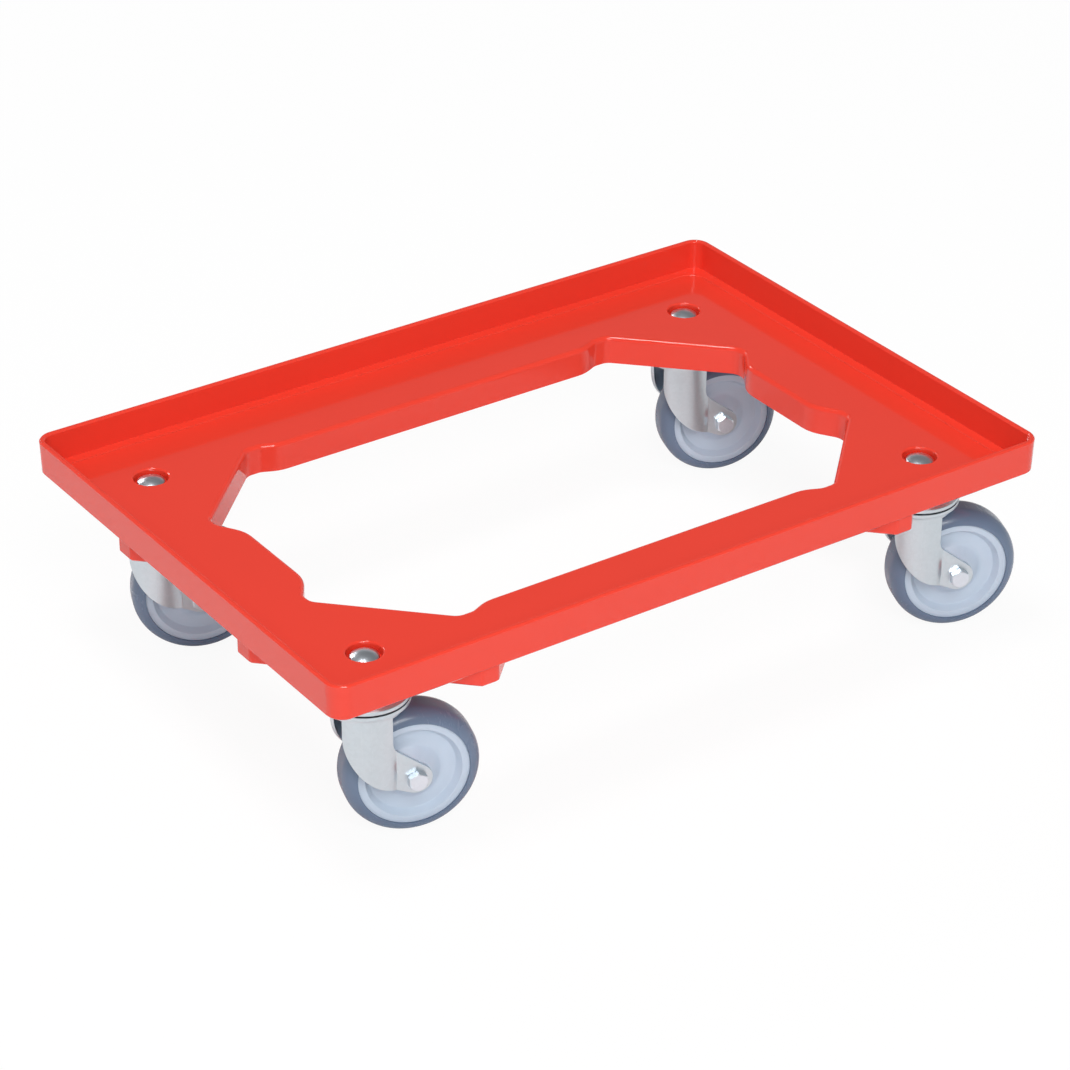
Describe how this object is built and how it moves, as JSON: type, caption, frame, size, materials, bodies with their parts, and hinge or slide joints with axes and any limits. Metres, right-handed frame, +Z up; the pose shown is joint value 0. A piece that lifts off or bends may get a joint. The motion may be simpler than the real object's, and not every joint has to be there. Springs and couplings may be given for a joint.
{
  "type": "crate dolly",
  "caption": "Low moulded plastic dolly with a raised rim that holds a stacking crate, an open middle and swivel castors with rubber-tyred wheels.",
  "frame": {"origin": "on the floor, below the middle of the box round the whole dolly", "axes": "+X along the long side towards the trailing wheels, +Y to the back long side, +Z up"},
  "size_m": [0.635, 0.425, 0.1715],
  "materials": {
    "red_plastic": "moulded red plastic, satin gloss",
    "zinc_plate": "bright zinc-plated pressed steel",
    "zinc_fasteners": "zinc-plated fasteners",
    "steel": "plain turned steel",
    "hub_plastic": "pale grey moulded plastic",
    "tyre_rubber": "dark blue-grey rubber, matte"
  },
  "bodies": {
    "deck": {"deck_frame": "red_plastic", "mounting_bolts": "zinc_fasteners", "lock_nuts": "zinc_fasteners", "front_left_swivel_cap": "zinc_plate", "front_left_king_sleeve": "steel", "front_left_swivel_retainer": "steel", "front_left_ball_ring": "steel", "front_right_swivel_cap": "zinc_plate", "front_right_king_sleeve": "steel", "front_right_swivel_retainer": "steel", "front_right_ball_ring": "steel", "rear_left_swivel_cap": "zinc_plate", "rear_left_king_sleeve": "steel", "rear_left_swivel_retainer": "steel", "rear_left_ball_ring": "steel", "rear_right_swivel_cap": "zinc_plate", "rear_right_king_sleeve": "steel", "rear_right_swivel_retainer": "steel", "rear_right_ball_ring": "steel"},
    "front_left_castor": {"front_left_fork": "zinc_plate", "front_left_axle_bolt": "zinc_fasteners", "front_left_axle_nut": "zinc_fasteners", "front_left_axle_sleeve": "steel"},
    "front_left_wheel": {"front_left_wheel_hub": "hub_plastic", "front_left_tyre": "tyre_rubber"},
    "front_right_castor": {"front_right_fork": "zinc_plate", "front_right_axle_bolt": "zinc_fasteners", "front_right_axle_nut": "zinc_fasteners", "front_right_axle_sleeve": "steel"},
    "front_right_wheel": {"front_right_wheel_hub": "hub_plastic", "front_right_tyre": "tyre_rubber"},
    "rear_left_castor": {"rear_left_fork": "zinc_plate", "rear_left_axle_bolt": "zinc_fasteners", "rear_left_axle_nut": "zinc_fasteners", "rear_left_axle_sleeve": "steel"},
    "rear_left_wheel": {"rear_left_wheel_hub": "hub_plastic", "rear_left_tyre": "tyre_rubber"},
    "rear_right_castor": {"rear_right_fork": "zinc_plate", "rear_right_axle_bolt": "zinc_fasteners", "rear_right_axle_nut": "zinc_fasteners", "rear_right_axle_sleeve": "steel"},
    "rear_right_wheel": {"rear_right_wheel_hub": "hub_plastic", "rear_right_tyre": "tyre_rubber"}
  },
  "joints": [
    {"name": "front_left_swivel", "type": "hinge", "parent": "deck", "child": "front_left_castor", "pos_m": [-0.25457, -0.1478, 0.1115], "axis": [0, 0, 1], "continuous": true},
    {"name": "front_left_roll", "type": "hinge", "parent": "front_left_castor", "child": "front_left_wheel", "pos_m": [-0.22585, -0.15647, 0.05], "axis": [0.289, 0.9573, 0], "continuous": true},
    {"name": "front_right_swivel", "type": "hinge", "parent": "deck", "child": "front_right_castor", "pos_m": [0.23943, -0.1478, 0.1115], "axis": [0, 0, 1], "continuous": true},
    {"name": "front_right_roll", "type": "hinge", "parent": "front_right_castor", "child": "front_right_wheel", "pos_m": [0.26728, -0.15894, 0.05], "axis": [0.3714, 0.9285, 0], "continuous": true},
    {"name": "rear_left_swivel", "type": "hinge", "parent": "deck", "child": "rear_left_castor", "pos_m": [-0.25457, 0.1478, 0.1115], "axis": [0, 0, 1], "continuous": true},
    {"name": "rear_left_roll", "type": "hinge", "parent": "rear_left_castor", "child": "rear_left_wheel", "pos_m": [-0.22664, 0.13685, 0.05], "axis": [0.3649, 0.9311, 0], "continuous": true},
    {"name": "rear_right_swivel", "type": "hinge", "parent": "deck", "child": "rear_right_castor", "pos_m": [0.23943, 0.1478, 0.1115], "axis": [0, 0, 1], "continuous": true},
    {"name": "rear_right_roll", "type": "hinge", "parent": "rear_right_castor", "child": "rear_right_wheel", "pos_m": [0.26801, 0.13868, 0.05], "axis": [0.304, 0.9527, 0], "continuous": true}
  ]
}
